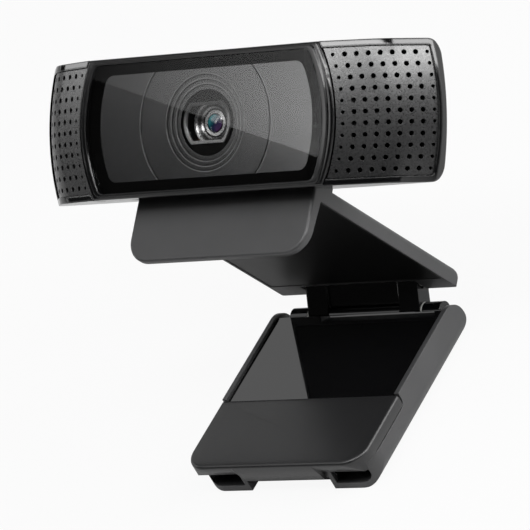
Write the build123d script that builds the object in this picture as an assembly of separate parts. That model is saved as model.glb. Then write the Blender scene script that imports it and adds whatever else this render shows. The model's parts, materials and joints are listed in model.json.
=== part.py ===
from build123d import *
import os
from math import asin, cos, pi, radians, sin, sqrt, tan

# A webcam head on a folding monitor clip, standing on its open foot.
# Millimetres, +Z up, front towards -Y, origin at the mouth of the tripod thread.

# Rest pose, in degrees
link_lean = 54.7  # hinge link above the floor
arm_lean = 63.5  # arm above the floor
head_lean = 19.7  # head turned back from square to the arm
tilt_up = 12.0  # how far the head tilts up from rest
tilt_down = 12.0  # how far the head tilts down from rest

# Clearances
press_gap = 0.01
running_gap = 0.05
seat_gap = 0.1
moving_gap = 0.4

# Clip, foot
clip_width = 44.0
foot_height = 9.2
foot_wall = 1.1
foot_floor = 1.5
foot_edge_radius = 4.0  # rounded lower edges along both sides
toe_reach = 26.9  # thread axis to the shell's toe
heel_reach = 13.9  # thread axis to the centre of the heel's round
hinge_reach = 17.2  # thread axis to the foot's hinge pin
hinge_height = 6.3  # hinge pin above the floor
toe_corner_radius = 5.0
toe_height = 6.3  # shell wall beside the toe pad
pad_rear = 9.8  # thread axis to the rear edge of the pad
pad_overhang = 2.4  # pad's top edge in front of the shell's toe
pad_lip = 0.6  # pad's thickness at the lower end of its front
pad_step_radius = 1.5
pad_edge_radius = 0.7
pad_drop = 5.2  # lower end of the pad's front, beside the tongue
tongue_width = 20.2
tongue_drop = 3.2  # lower end of the tongue
toe_notch_width = 20.6  # opening under the tongue
toe_notch_depth = 2.6
grip_slot_wall = 1.1  # between the notch and the finger slots beside it
grip_slot_width = 8.6
grip_slot_radius = 1.6
grip_slot_depth = 3.2
foot_recess = 0.6  # gloss panel below the rim
foot_panel_thickness = 1.2
toe_deck_thickness = 1.3
panel_screw_spread = 25.0
panel_screw_setback = 8.0  # behind the toe's outer face
panel_screw_radius = 0.9
panel_screw_head_radius = 1.8
panel_screw_head_height = 1.1
panel_screw_length = 5.0
screw_boss_wall = 1.5

# Tripod insert, 1/4 inch 20 turns to the inch
thread_radius = 3.175
insert_wall = 1.3
insert_height = 5.2
insert_flange_height = 0.8
insert_flange_rim = 0.7
insert_boss_wall = 1.6

# Hinges
foot_pin_radius = 1.0
foot_pin_overlap = 3.6  # pin's hold in the lugs at its ends
foot_knuckle_radius = 2.0
foot_lug_width = 17.6  # middle lug of the foot
foot_side_lug_width = 4.4
link_cheek_width = 5.0
link_length = 6.92
link_web_front = 1.2  # front of the link between its cheeks, from the line of the pins
arm_knuckle_radius = 1.9
link_width = 28.0
arm_pin_radius = 1.0
arm_pin_overlap = 3.0
washer_thickness = 0.3
washer_rim = 1.0

# Arm and lip
arm_thickness = 3.4
arm_reach = 46.6  # lip's rear face to the arm's hinge pin
lip_thickness = 2.6
lip_drop = 11.6
lip_tip_thickness = 1.4
lip_corner_radius = 5.0
lip_edge_radius = 0.6
arm_corner_radius = 0.5
arm_tail_radius = 3.0  # rounding of the tail's upper edge
arm_edge_radius = 1.0
post_thickness = 6.0
arm_panel_thickness = 1.0
arm_panel_recess = 0.1
arm_rim = 0.6
arm_panel_front = 1.0

# Head tilt
tilt_height = 5.3  # tilt pin above the arm's underside
tilt_depth = 10.9  # tilt pin behind the head's front
tilt_drop = 11.7  # tilt pin below the lens axis
tilt_pin_radius = 1.0
tilt_cheek = 3.0
tilt_washer_thickness = 0.35
pocket_wall = 1.2

# Head casing
head_height = 28.0
bezel_radius = 31.66  # bezel's round sides, about the lens axis
end_radius = 48.9  # head's round ends, about the lens axis
end_height = 27.8
end_edge = 0.8  # thickness of the head at its round ends
rear_crown = 10.0  # how far the middle of the rear stands out past the ends
shell_wall = 1.4
rail_thickness = 1.3
end_wall = 0.5
end_corner_radius = 1.0
shell_draft = 9.0  # degrees that the casing's top and bottom lean in towards the rear
draft_front = 12.5  # where that lean starts, behind the bezel's front
shell_edge_radius = 3.5
grommet_radius = 4.0
grommet_height = 2.0  # above the lens axis
cable_radius = 2.0
grommet_flange = 1.2
grommet_length = 6.0

# Bezel, window and lens panel
bezel_depth = 4.4
bezel_gap = 0.15
bezel_rib = 1.2  # raised rib beside the window
bezel_rail = 1.2  # bezel's width above and below the window
bezel_side = 2.45  # bezel's width beside the window
bezel_step = 0.35
bezel_edge_radius = 0.6
bezel_back = 1.5
bezel_skirt = 1.6
window_inset = 0.1
window_thickness = 0.8
window_corner_radius = 1.6
gasket_thickness = 0.1
frame_side = 2.9  # dark frame printed round the clear field
frame_rail = 2.15
frame_corner_radius = 2.2
panel_thickness = 1.1
eye_radius = 16.0  # groove round the lens
eye_groove = 0.3
eye_groove_depth = 0.25
ring_radius = 9.57  # first of the stepped rings
ring_step = 1.0
ring_count = 3
ring_drop = 0.25

# Lens and focus
hood_radius = 7.5
hood_flange = 1.5
hood_lip_radius = 5.1
hood_lip_flat = 3.5
hood_lip_wall = 0.6
hood_lip_height = 0.55
hood_plate = 0.9
barrel_radius = 4.5
barrel_length = 5.4
barrel_mouth_radius = 4.1
barrel_cone_depth = 0.95
barrel_ring = 0.8
front_lens_radius = 1.95
front_lens_thickness = 1.4
front_lens_crown = 0.35
rear_lens_radius = 2.6
rear_lens_thickness = 1.2
focus_travel = 0.2
coil_thickness = 0.5
coil_length = 2.6
focus_wall = 0.6
magnet_size = 1.5
magnet_length = 3.0
sensor_width = 7.0
sensor_height = 6.0
sensor_thickness = 1.0

# Board
board_front = 10.4
board_thickness = 1.2
board_width = 54.0
board_top = 11.0
board_screw_inset = 3.4
board_screw_radius = 0.95
board_screw_head_radius = 1.7
board_screw_head_height = 1.1
board_screw_grip = 3.0
board_boss_wall = 1.3
shield_width = 18.0
shield_height = 12.0
shield_depth = 2.2
shield_wall = 0.3
header_width = 8.0
header_height = 4.6
header_depth = 3.5
led_size = 1.6
led_depth = 0.7
led_hole_radius = 0.7

# Grilles and microphones
grille_setback = 1.1
grille_slope = 21.0
grille_end_slope = 50.0
grille_flat_share = 0.65  # flat part of the grille, before it bends round
grille_bend_radius = 12.0
grille_thickness = 1.2
rail_proud = 0.4  # rails in front of the grille
grille_pitch = 2.27
grille_row_pitch = 2.25
grille_columns = 9
grille_rows = 11
grille_hole_radius = 0.5
grille_edge_hole_radius = 0.36  # first and last columns
grille_first_column = 1.5
mic_radius = 3.0
mic_length = 2.6
mic_boot_wall = 0.6
mic_boot_length = 3.2
mic_cup_wall = 0.8
mic_cup_depth = 2.8
mic_along = 5.9  # from the seam, along the grille

cut_past = 1.0  # how far a cut runs past a face

grille_flat = grille_flat_share * (end_radius - bezel_radius)
grille_bend_x = bezel_radius + grille_flat * cos(radians(grille_slope))
grille_bend_y = grille_setback + grille_flat * sin(radians(grille_slope))
end_front = grille_bend_y + (end_radius - grille_bend_x) * tan(radians(grille_end_slope))
end_back = end_front + end_edge
head_depth = end_back + rear_crown
side = Plane.YZ
front = Plane.XZ


def turn(y, z, angle):
    """Turn a point of the side view about X, anticlockwise from +Y to +Z."""
    a = radians(angle)
    return y * cos(a) - z * sin(a), y * sin(a) + z * cos(a)


def rect(y0, z0, y1, z1):
    return Pos((y0 + y1) / 2, (z0 + z1) / 2) * Rectangle(y1 - y0, z1 - z0)


def block(x0, y0, z0, x1, y1, z1):
    return Pos((x0 + x1) / 2, (y0 + y1) / 2, (z0 + z1) / 2) * Box(x1 - x0, y1 - y0, z1 - z0)


def slab(face, x0, x1):
    """Side-view face drawn from x0 to x1."""
    return extrude(side.offset(x0) * face, amount=x1 - x0)


def pane(face, y0, y1):
    """Front-view face drawn from depth y0 to y1."""
    return extrude(front.offset(-y0) * face, amount=y0 - y1)


def rod(x0, x1, y, z, radius):
    return Pos((x0 + x1) / 2, y, z) * Rot(0, 90, 0) * Cylinder(radius, x1 - x0)


def disc(y0, y1, radius, x=0.0, z=0.0):
    return Pos(x, (y0 + y1) / 2, z) * Rot(90, 0, 0) * Cylinder(radius, y1 - y0)


def stud(x, y, z0, z1, radius):
    return Pos(x, y, (z0 + z1) / 2) * Cylinder(radius, z1 - z0)


def both_sides(shape):
    return shape + mirror(shape, about=Plane.YZ)


def ring_pair(x0, x1, y, z, outer, inner):
    return both_sides(rod(x0, x1, y, z, outer) - rod(x0, x1, y, z, inner))


# Places that the pieces share
half_clip = clip_width / 2
foot_pin_y = hinge_reach
foot_pin_z = hinge_height
link_run, link_rise = turn(link_length, 0, link_lean)
arm_pin_y = foot_pin_y + link_run
arm_pin_z = foot_pin_z + link_rise
arm_pin_height = arm_thickness / 2
arm_dy, arm_dz = turn(arm_reach, arm_pin_height, -arm_lean)
arm_place = Location((0, arm_pin_y - arm_dy, arm_pin_z - arm_dz), (-arm_lean, 0, 0))
tilt_a = post_thickness / 2 - lip_thickness
tilt_dy, tilt_dz = turn(tilt_a, tilt_height, -arm_lean)
tilt_y = arm_pin_y - arm_dy + tilt_dy
tilt_z = arm_pin_z - arm_dz + tilt_dz
head_angle = head_lean - arm_lean
head_dy, head_dz = turn(tilt_depth, -tilt_drop, head_angle)
head_place = Location((0, tilt_y - head_dy, tilt_z - head_dz), (head_angle, 0, 0))
foot_place = Location((0, 0, 0))

# Foot, in the part's own frame
knuckle_front = foot_pin_y - foot_knuckle_radius - moving_gap
foot_panel_top = foot_height - foot_recess
foot_panel_base = foot_panel_top - foot_panel_thickness
toe_deck_base = toe_height - toe_deck_thickness
link_cheek_inner = foot_lug_width / 2 + moving_gap / 2
link_cheek_outer = link_cheek_inner + link_cheek_width
side_lug_inner = link_cheek_outer + moving_gap
insert_radius = thread_radius + insert_wall
panel_screw_y = panel_screw_setback - toe_reach


def foot_section(wall, floor):
    """Front view of the foot with rounded lower edges, inset by a wall and a floor."""
    half = half_clip - wall
    shape = Pos(0, floor + foot_height) * Rectangle(2 * half, 2 * foot_height)
    return fillet(shape.vertices().group_by(Axis.Y)[0], foot_edge_radius - wall)


def foot_plan(inset):
    """Plan of the foot with rounded toe corners, long enough to pass the heel."""
    heel = hinge_reach + foot_height
    shape = rect(-half_clip + inset, inset - toe_reach, half_clip - inset, heel)
    return fillet(shape.vertices().group_by(Axis.Y)[0], toe_corner_radius - inset)


def pad_seat(gap):
    """Side view of the space above the toe that the pad fills."""
    shape = rect(-2 * toe_reach, toe_height, -pad_rear - gap, 2 * foot_height)
    return fillet(shape.vertices().group_by(Axis.X)[-1].group_by(Axis.Y)[0], pad_step_radius)


def foot_shell():
    reach = toe_reach + hinge_reach
    profile = rect(-toe_reach, 0, heel_reach, foot_height)
    profile += Pos(heel_reach, foot_height / 2) * Circle(foot_height / 2)
    body = slab(profile, -half_clip, half_clip) & pane(foot_section(0, 0), -reach, reach)
    body = body & extrude(foot_plan(0), amount=foot_height)
    body -= slab(pad_seat(0), -half_clip, half_clip)
    hollow = pane(foot_section(foot_wall, foot_floor), -reach, reach)
    body -= hollow & extrude(foot_plan(foot_wall), amount=3 * foot_height)

    boss = insert_radius + insert_flange_rim + insert_boss_wall
    body += stud(0, 0, foot_floor / 2, foot_panel_base, boss)
    body -= stud(0, 0, -cut_past, insert_height, insert_radius + press_gap)
    body -= stud(0, 0, insert_height, foot_height, insert_radius + insert_flange_rim + seat_gap)
    for x in (-panel_screw_spread / 2, panel_screw_spread / 2):
        body += stud(x, panel_screw_y, foot_floor / 2, toe_deck_base, panel_screw_radius + screw_boss_wall)
        body -= stud(x, panel_screw_y, foot_floor, toe_deck_base + cut_past, panel_screw_radius + running_gap)

    half_notch = toe_notch_width / 2
    notch_back = toe_notch_depth - toe_reach
    body -= block(-half_notch, -2 * toe_reach, -cut_past, half_notch, notch_back, tongue_drop)
    slot_inner = half_notch + grip_slot_wall
    slot = rect(slot_inner, foot_floor, slot_inner + grip_slot_width, pad_drop)
    slot = fillet(slot.vertices().group_by(Axis.X)[-1], grip_slot_radius)
    return body - both_sides(pane(slot, -2 * toe_reach, grip_slot_depth - toe_reach))


def foot_panel():
    half = half_clip - foot_wall - seat_gap
    step = -pad_rear
    rear = knuckle_front
    base = foot_floor + seat_gap
    profile = rect(step, foot_panel_base, rear, foot_panel_top)
    profile += rect(step, toe_deck_base, step + foot_panel_thickness, foot_panel_top)
    profile += rect(-toe_reach, toe_deck_base, step + foot_panel_thickness, toe_height)
    profile += rect(rear - foot_panel_thickness, base, rear, foot_panel_top)
    panel = slab(profile, -half, half)
    lug = rect(rear - foot_panel_thickness, foot_pin_z - foot_knuckle_radius, foot_pin_y, foot_pin_z)
    lug += Pos(foot_pin_y, foot_pin_z) * Circle(foot_knuckle_radius)
    panel += slab(lug, -foot_lug_width / 2, foot_lug_width / 2)
    panel += both_sides(slab(lug, side_lug_inner, side_lug_inner + foot_side_lug_width))
    panel = panel & extrude(foot_plan(foot_wall + seat_gap), amount=foot_height)
    panel = panel & pane(foot_section(foot_wall + seat_gap, base), -2 * toe_reach, 2 * toe_reach)
    for x in (-panel_screw_spread / 2, panel_screw_spread / 2):
        panel -= stud(x, panel_screw_y, 0, foot_height, panel_screw_radius + seat_gap)
    hold = side_lug_inner + foot_pin_overlap + seat_gap
    return panel - rod(-hold, hold, foot_pin_y, foot_pin_z, foot_pin_radius + press_gap)


def under_pad(drop):
    """Side view of what lies round the pad, with its front carried down to a height above the floor."""
    toe = -toe_reach - seat_gap
    top = -toe_reach - pad_overhang
    brow = foot_height - pad_edge_radius
    low = -foot_height
    out = top - cut_past
    points = [(out, brow), (top, brow), (toe - pad_lip, drop), (toe, drop), (toe, low), (out, low)]
    shell = rect(toe, low, foot_height, 2 * foot_height) - pad_seat(seat_gap)
    return make_face(Polyline(*points, close=True)) + shell


def foot_pad():
    plan = rect(-half_clip, -toe_reach - pad_overhang, half_clip, -pad_rear - seat_gap)
    plan = fillet(plan.vertices().group_by(Axis.Y)[0], toe_corner_radius)
    pad = extrude(plan, amount=foot_height)
    pad = fillet(pad.faces().sort_by(Axis.Z)[-1].outer_wire().edges(), pad_edge_radius)
    half_tongue = tongue_width / 2
    pad -= both_sides(slab(under_pad(pad_drop), half_tongue, clip_width))
    pad -= slab(under_pad(tongue_drop), -half_tongue, half_tongue)
    pocket_radius = panel_screw_head_radius + moving_gap
    pocket_top = toe_height + panel_screw_head_height + moving_gap
    for x in (-panel_screw_spread / 2, panel_screw_spread / 2):
        pad -= stud(x, panel_screw_y, 0, pocket_top, pocket_radius)
    return pad


def panel_screws():
    group = []
    for x in (-panel_screw_spread / 2, panel_screw_spread / 2):
        head_top = toe_height + panel_screw_head_height
        screw = stud(x, panel_screw_y, toe_height, head_top, panel_screw_head_radius)
        socket = head_top - panel_screw_head_height / 2
        screw -= stud(x, panel_screw_y, socket, head_top, panel_screw_radius / 2)
        low = toe_height - min(panel_screw_length, toe_height - foot_floor - seat_gap)
        group.append(screw + stud(x, panel_screw_y, low, toe_height, panel_screw_radius))
    return Compound(children=group)


def tripod_insert():
    insert = stud(0, 0, 0, insert_height, insert_radius)
    flange_top = insert_height + insert_flange_height
    insert += stud(0, 0, insert_height, flange_top, insert_radius + insert_flange_rim)
    return insert - stud(0, 0, -cut_past, insert_height, thread_radius)


def foot_hinge_pin():
    hold = side_lug_inner + foot_pin_overlap
    return rod(-hold, hold, foot_pin_y, foot_pin_z, foot_pin_radius)


# Hinge link, in the part's own frame


def hinge_link():
    low = Pos(foot_pin_y, foot_pin_z) * Circle(foot_knuckle_radius)
    high = Pos(arm_pin_y, arm_pin_z) * Circle(arm_knuckle_radius)
    strap = make_hull((low + high).edges())
    web = rect(0, -foot_knuckle_radius, link_length, link_web_front)
    web = Rot(0, 0, link_lean) * (web - Circle(foot_knuckle_radius + moving_gap))
    link = both_sides(slab(strap, link_cheek_inner, link_cheek_outer))
    link += slab(Pos(foot_pin_y, foot_pin_z) * web, -link_cheek_inner, link_cheek_inner)
    link += rod(-link_width / 2, link_width / 2, arm_pin_y, arm_pin_z, arm_knuckle_radius)
    link -= rod(-link_width, link_width, foot_pin_y, foot_pin_z, foot_pin_radius + running_gap)
    link -= rod(-link_width, link_width, arm_pin_y, arm_pin_z, arm_pin_radius + running_gap)
    return link


def foot_hinge_washers():
    x0 = link_cheek_outer + (moving_gap - washer_thickness) / 2
    outer = min(foot_pin_radius + running_gap + washer_rim, foot_knuckle_radius)
    return ring_pair(x0, x0 + washer_thickness, foot_pin_y, foot_pin_z, outer, foot_pin_radius + running_gap)


def arm_hinge_washers():
    x0 = link_width / 2 + (moving_gap - washer_thickness) / 2
    outer = min(arm_pin_radius + running_gap + washer_rim, arm_thickness / 2)
    return ring_pair(x0, x0 + washer_thickness, arm_pin_y, arm_pin_z, outer, arm_pin_radius + running_gap)


# Arm, in its own frame: Y from the lip's rear face to the hinge, Z square to the underside
arm_notch = arm_reach - arm_knuckle_radius - 2 * moving_gap
arm_tail = arm_reach + arm_thickness / 2
arm_lug_inner = link_width / 2 + moving_gap


def clip_arm():
    tall = tilt_height + post_thickness
    post = rect(-lip_thickness, 0, post_thickness - lip_thickness, tilt_height)
    post += Pos(tilt_a, tilt_height) * Circle(post_thickness / 2)
    tip_rear = lip_tip_thickness - lip_thickness
    lip_rear = [(0, 0), (tip_rear, -lip_drop)]
    post += make_face(Polyline((-lip_thickness, 0), *lip_rear, (-lip_thickness, -lip_drop), close=True))
    outline = rect(-half_clip, -lip_drop, half_clip, tall)
    outline = fillet(outline.vertices().group_by(Axis.Y)[0], lip_corner_radius)
    arm = slab(post, -half_clip, half_clip) & pane(outline, -arm_tail, arm_tail)
    lip_face = arm.faces().sort_by(Axis.Y)[0]
    lip_edges = lip_face.outer_wire().edges().filter_by(lambda e: e.center().Z < 0)
    arm = fillet(lip_edges, lip_edge_radius)

    bar = rect(0, 0, arm_tail, arm_thickness)
    bar = fillet(bar.vertices().group_by(Axis.X)[-1].group_by(Axis.Y)[-1], arm_tail_radius)
    section = rect(-half_clip, 0, half_clip, arm_thickness)
    section = fillet(section.vertices().group_by(Axis.Y)[-1], arm_edge_radius)
    plan = rect(-half_clip, -arm_tail, half_clip, arm_tail)
    plan = fillet(plan.vertices().group_by(Axis.Y)[-1], arm_corner_radius)
    arm += slab(bar, -half_clip, half_clip) & pane(section, 0, arm_tail) & extrude(plan, amount=arm_thickness)

    half = half_clip - arm_rim
    depth = arm_panel_recess + arm_panel_thickness
    arm -= block(-half, arm_panel_front, -cut_past, half, arm_notch - arm_rim, depth)
    arm -= block(-arm_lug_inner, arm_notch, -cut_past, arm_lug_inner, 2 * arm_reach, 2 * arm_thickness)
    hold = arm_lug_inner + arm_pin_overlap + seat_gap
    arm -= rod(-hold, hold, arm_reach, arm_pin_height, arm_pin_radius + press_gap)
    arm -= rod(-clip_width, clip_width, tilt_a, tilt_height, tilt_pin_radius + running_gap)
    return arm


def arm_panel():
    half = half_clip - arm_rim - seat_gap
    rear = arm_notch - arm_rim - seat_gap
    top = arm_panel_recess + arm_panel_thickness
    return block(-half, arm_panel_front + seat_gap, arm_panel_recess, half, rear, top)


def arm_hinge_pin():
    hold = arm_lug_inner + arm_pin_overlap
    return rod(-hold, hold, arm_reach, arm_pin_height, arm_pin_radius)


# Head, in its own frame: origin on the lens axis at the bezel's front, Y to the rear
pocket_radius = post_thickness / 2 + moving_gap
cheek_inner = half_clip + moving_gap
pocket_top = pocket_radius + pocket_wall - tilt_drop
window_front = window_inset
gasket_front = window_front + window_thickness
panel_front = gasket_front + gasket_thickness
panel_back = panel_front + panel_thickness
bezel_wall_back = panel_back + bezel_back
board_back = board_front + board_thickness
board_base = pocket_top + seat_gap
focus_bore = barrel_radius + coil_thickness + moving_gap / 2
focus_half = focus_bore + focus_wall
board_screw_x = board_width / 2 - board_screw_inset
board_screw_zs = (board_base + board_screw_inset, board_top - board_screw_inset)
led_x = (eye_radius + board_screw_x - board_screw_head_radius) / 2
hood_front = panel_back - hood_lip_height
hood_back = bezel_depth
barrel_front = hood_front + hood_lip_height + hood_plate + 2 * focus_travel


def lens_outline(radius, height, corner):
    """Front-view shape with round sides about the lens axis and flat top and bottom."""
    shape = Circle(radius) & Rectangle(2 * radius, height)
    return fillet(shape.vertices(), corner)


def front_bezel():
    outer_radius = bezel_radius - bezel_gap / 2
    hole_radius = bezel_radius - bezel_side
    hole_height = head_height - 2 * bezel_rail
    outer = lens_outline(outer_radius, head_height, bezel_edge_radius)
    rib = lens_outline(hole_radius + bezel_rib, hole_height + bezel_rail, window_corner_radius)
    bezel = pane(outer, bezel_step, bezel_depth)
    bezel = fillet(bezel.faces().sort_by(Axis.Y)[0].outer_wire().edges(), bezel_edge_radius)
    bezel += pane(rib, 0, bezel_step * 2)
    bezel -= pane(lens_outline(hole_radius, hole_height, window_corner_radius), -cut_past, panel_back)
    back_height = head_height - 2 * bezel_skirt
    back = lens_outline(outer_radius - bezel_skirt, back_height, bezel_edge_radius)
    bezel -= pane(back, bezel_wall_back, head_depth)
    bezel -= disc(0, head_depth, hood_radius + seat_gap)
    for x in (-led_x, led_x):
        bezel -= disc(0, head_depth, led_hole_radius, x)
    for x in (-board_screw_x, board_screw_x):
        for z in board_screw_zs:
            root = bezel_wall_back - bezel_back / 2
            bezel += disc(root, board_front, board_screw_radius + board_boss_wall, x, z)
            grip = board_front - board_screw_grip - seat_gap
            bezel -= disc(grip, board_front + cut_past, board_screw_radius + running_gap, x, z)
    return bezel


def window_face(inset):
    radius = bezel_radius - bezel_side - inset
    height = head_height - 2 * bezel_rail - 2 * inset
    return lens_outline(radius, height, window_corner_radius - inset)


def front_window():
    return pane(window_face(seat_gap), window_front, gasket_front)


def window_gasket():
    clear_radius = bezel_radius - bezel_side - frame_side
    clear_height = head_height - 2 * bezel_rail - 2 * frame_rail
    clear = lens_outline(clear_radius, clear_height, frame_corner_radius)
    return pane(window_face(seat_gap) - clear, gasket_front, panel_front)


def lens_panel():
    panel = pane(window_face(seat_gap), panel_front, panel_back)
    groove = Circle(eye_radius + eye_groove / 2) - Circle(eye_radius - eye_groove / 2)
    panel -= pane(groove, 0, panel_front + eye_groove_depth)
    for i in range(ring_count):
        panel -= disc(0, panel_front + ring_drop * (i + 1), ring_radius - ring_step * i)
    return panel - disc(0, head_depth, ring_radius - ring_step * ring_count)


def hood_opening(wall):
    """Round lens opening with a flat top and bottom."""
    flat = 2 * (hood_lip_flat + wall)
    return Circle(hood_lip_radius + wall) & Rectangle(4 * hood_lip_radius, flat)


def lens_hood():
    hood = disc(panel_back, hood_back, hood_radius)
    hood += disc(bezel_wall_back, hood_back, hood_radius + hood_flange)
    hood += pane(hood_opening(hood_lip_wall), hood_front, panel_back + hood_plate)
    hood -= pane(hood_opening(0), 0, head_depth)
    return hood - disc(panel_back + hood_plate, head_depth, barrel_radius + moving_gap)


def lens_barrel():
    ring_radius_in = front_lens_radius + barrel_ring
    seat = barrel_front + barrel_cone_depth
    barrel = disc(barrel_front, barrel_front + barrel_length, barrel_radius)
    cone = Pos(0, barrel_front + barrel_cone_depth / 2, 0) * Rot(90, 0, 0)
    barrel -= cone * Cone(ring_radius_in, barrel_mouth_radius, barrel_cone_depth)
    barrel -= disc(seat, head_depth, front_lens_radius + press_gap)
    rear_seat = barrel_front + barrel_length - rear_lens_thickness
    return barrel - disc(rear_seat, head_depth, rear_lens_radius + press_gap)


def front_lens():
    seat = barrel_front + barrel_cone_depth
    ball_radius = (front_lens_radius**2 + front_lens_crown**2) / (2 * front_lens_crown)
    lens = disc(seat - front_lens_crown, seat + front_lens_thickness, front_lens_radius)
    return lens & (Pos(0, seat - front_lens_crown + ball_radius, 0) * Sphere(ball_radius))


def rear_lens():
    back = barrel_front + barrel_length
    return disc(back - rear_lens_thickness, back, rear_lens_radius)


def coil_start():
    return barrel_front + barrel_length - coil_length - coil_thickness


def focus_coil():
    y0 = coil_start()
    ring = disc(y0, y0 + coil_length, barrel_radius + coil_thickness)
    return ring - disc(0, head_depth, barrel_radius + press_gap)


def magnet_corner():
    return focus_half - focus_wall / 2 - magnet_size / 2


def focus_magnets():
    at = magnet_corner()
    y0 = coil_start()
    group = []
    for x in (-at, at):
        for z in (-at, at):
            half = magnet_size / 2
            group.append(block(x - half, y0, z - half, x + half, y0 + magnet_length, z + half))
    return Compound(children=group)


def focus_housing():
    housing = block(-focus_half, hood_back, -focus_half, focus_half, board_front, focus_half)
    sensor_front = board_front - sensor_thickness - moving_gap
    housing -= disc(0, sensor_front + seat_gap, focus_bore)
    half_w = sensor_width / 2 + moving_gap
    half_h = sensor_height / 2 + moving_gap
    housing -= block(-half_w, sensor_front - moving_gap, -half_h, half_w, head_depth, half_h)
    at = magnet_corner()
    half = magnet_size / 2 + press_gap
    y0 = coil_start() - press_gap
    for x in (-at, at):
        for z in (-at, at):
            housing -= block(x - half, y0, z - half, x + half, y0 + magnet_length + 2 * press_gap, z + half)
    return housing


def image_sensor():
    half_w = sensor_width / 2
    half_h = sensor_height / 2
    return block(-half_w, board_front - sensor_thickness, -half_h, half_w, board_front, half_h)


def main_board():
    board = block(-board_width / 2, board_front, board_base, board_width / 2, board_back, board_top)
    for x in (-board_screw_x, board_screw_x):
        for z in board_screw_zs:
            board -= disc(0, head_depth, board_screw_radius + seat_gap, x, z)
    return board


def board_screws():
    group = []
    for x in (-board_screw_x, board_screw_x):
        for z in board_screw_zs:
            back = board_back + board_screw_head_height
            screw = disc(board_back, back, board_screw_head_radius, x, z)
            screw -= disc(back - board_screw_head_height / 2, back, board_screw_radius / 2, x, z)
            group.append(screw + disc(board_front - board_screw_grip, board_back, board_screw_radius, x, z))
    return Compound(children=group)


def shield_can():
    x1 = -header_width / 4
    x0 = x1 - shield_width
    z0 = (board_top + board_base - shield_height) / 2
    back = board_back + shield_depth
    can = block(x0, board_back, z0, x1, back, z0 + shield_height)
    w = shield_wall
    return can - block(x0 + w, 0, z0 + w, x1 - w, back - w, z0 + shield_height - w)


def cable_header():
    x0 = header_width / 2
    z0 = (board_top + board_base - header_height) / 2
    header = block(x0, board_back, z0, x0 + header_width, board_back + header_depth, z0 + header_height)
    wall = header_height / 5
    socket_front = board_back + header_depth / 3
    socket_x1 = x0 + header_width - wall
    socket_z1 = z0 + header_height - wall
    return header - block(x0 + wall, socket_front, z0 + wall, socket_x1, head_depth, socket_z1)


def status_leds():
    half = led_size / 2
    front_y = board_front - led_depth
    return both_sides(block(led_x - half, front_y, -half, led_x + half, board_front, half))


# Casing and grilles follow one curve turned about the lens axis, from the bezel's seam out to the ends


def face_heading(along):
    """Point of the grille's outer face and its heading, at a distance along it from the seam."""
    bend = radians(grille_end_slope - grille_slope)
    start_line = grille_flat - grille_bend_radius * tan(bend / 2)
    a0 = radians(grille_slope)
    x = bezel_radius + min(along, start_line) * cos(a0)
    y = grille_setback + min(along, start_line) * sin(a0)
    swing = min(max(along - start_line, 0) / grille_bend_radius, bend)
    x += grille_bend_radius * (sin(a0 + swing) - sin(a0))
    y += grille_bend_radius * (cos(a0) - cos(a0 + swing))
    rest = max(along - start_line - bend * grille_bend_radius, 0)
    heading = a0 + swing
    return x + rest * cos(heading), y + rest * sin(heading), heading


def face_corners(shift):
    """Start, bend and end of the face's two straight runs, moved forward by a shift."""
    a0 = radians(grille_slope)
    a1 = radians(grille_end_slope)
    spread = shift / (1 + cos(a1 - a0))
    bend_x = grille_bend_x + spread * (sin(a0) + sin(a1))
    bend_y = grille_bend_y - spread * (cos(a0) + cos(a1))
    start_x = 0
    start_y = bend_y - bend_x * tan(a0)
    far = end_radius - bend_x + seat_gap
    return (start_x, start_y), (bend_x, bend_y), (bend_x + far, bend_y + far * tan(a1))


def turned(forward, radius):
    """Everything behind the face, turned about the lens axis out to a radius."""
    start, bend, end = face_corners(forward)
    back = 2 * head_depth
    curve = FilletPolyline(start, bend, end, radius=grille_bend_radius + forward)
    far = Line(end, (end[0], back)) + Line((end[0], back), (0, back)) + Line((0, back), start)
    body = revolve(make_face(curve + far), axis=Axis.Y)
    return body & disc(-head_depth, back, radius)


def head_face(inset, radius, corner):
    """Front view of the head, its rails moved in by an inset."""
    half = head_height / 2 - inset
    end_half = end_height / 2 - inset
    points = [(0, half), (bezel_radius, half), (end_radius, end_half), (end_radius, -end_half)]
    points += [(bezel_radius, -half), (0, -half)]
    shape = make_face(Polyline(*points, close=True))
    shape += mirror(shape, about=Plane.YZ)
    shape = shape & Circle(radius)
    ends = shape.vertices().group_by(Axis.X)
    return fillet(ends[0] + ends[-1], corner)


def drafted(inset):
    """All the width between the casing's top and bottom, which lean in towards the rear."""
    half = head_height / 2 - inset
    ahead = -head_depth
    behind = 2 * head_depth
    lean = (behind - draft_front) * tan(radians(shell_draft))
    upper = [(ahead, half), (draft_front, half), (behind, half - lean)]
    lower = [(y, -z) for y, z in reversed(upper)]
    return slab(make_face(Polyline(*upper, *lower, close=True)), -2 * end_radius, 2 * end_radius)


def head_mass(forward, inset_back, inset_end, inset_rail):
    """The casing's full form, with its front moved forward and its other walls moved in."""
    side_x = end_radius + seat_gap
    sweep = (end_radius**2 + rear_crown**2) / (2 * rear_crown)
    back_y = head_depth - inset_back
    side_y = back_y - sweep + sqrt(sweep**2 - side_x**2)
    rear = ThreePointArc((side_x, side_y), (0, back_y), (-side_x, side_y))
    ahead = -head_depth
    sides = Line((-side_x, side_y), (-side_x, ahead)) + Line((-side_x, ahead), (side_x, ahead))
    plan = make_face(rear + sides + Line((side_x, ahead), (side_x, side_y)))
    mass = extrude(plan, amount=head_height, both=True) & drafted(inset_rail)
    rear_face = mass.faces().sort_by(Axis.Y)[-1]
    rear_edges = rear_face.outer_wire().edges().filter_by(lambda e: abs(e.center().X) < end_radius / 2)
    mass = fillet(rear_edges, shell_edge_radius - inset_back)
    face = head_face(inset_rail, end_radius - inset_end, end_corner_radius - inset_end)
    return mass & pane(face, -head_depth, 2 * head_depth) & turned(forward, end_radius - inset_end)


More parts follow.
